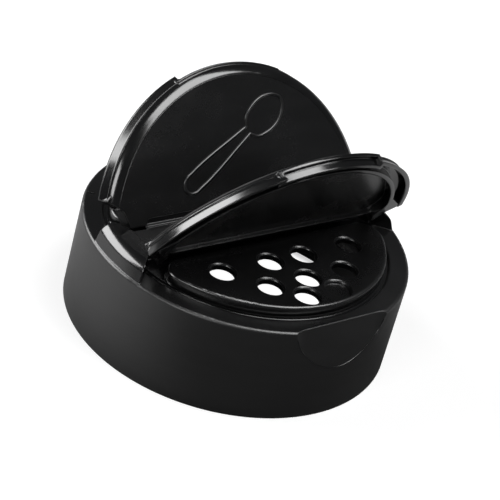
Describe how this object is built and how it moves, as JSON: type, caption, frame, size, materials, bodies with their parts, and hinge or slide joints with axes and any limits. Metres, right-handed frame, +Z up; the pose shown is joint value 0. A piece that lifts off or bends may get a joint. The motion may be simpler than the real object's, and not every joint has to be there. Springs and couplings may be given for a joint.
{
  "type": "spice dispensing cap",
  "caption": "Screw-on plastic cap for a wide-neck spice jar, with a sifter flap over holes and a spoon flap over a pouring opening.",
  "frame": {"origin": "centre of the bottom rim, in the plane that the rim stands on", "axes": "+Z up along the cap's axis, X along both hinge lines, +Y towards the spoon flap, -Y towards the shaker flap"},
  "size_m": [0.0666, 0.0666, 0.0479],
  "materials": {
    "black_pp": "moulded black polypropylene, satin sheen"
  },
  "bodies": {
    "cap": {"cap_body": "black_pp"},
    "spoon_flap": {"spoon_flap": "black_pp"},
    "shaker_flap": {"shaker_flap": "black_pp"}
  },
  "joints": [
    {"name": "spoon_hinge", "type": "hinge", "parent": "cap", "child": "spoon_flap", "pos_m": [0, 0.0032, 0.023], "axis": [1, 0, 0], "range_deg": [-61.3, 33.7]},
    {"name": "shaker_hinge", "type": "hinge", "parent": "cap", "child": "shaker_flap", "pos_m": [0, -0.0042, 0.023], "axis": [-1, 0, 0], "range_deg": [-64, 31]}
  ]
}
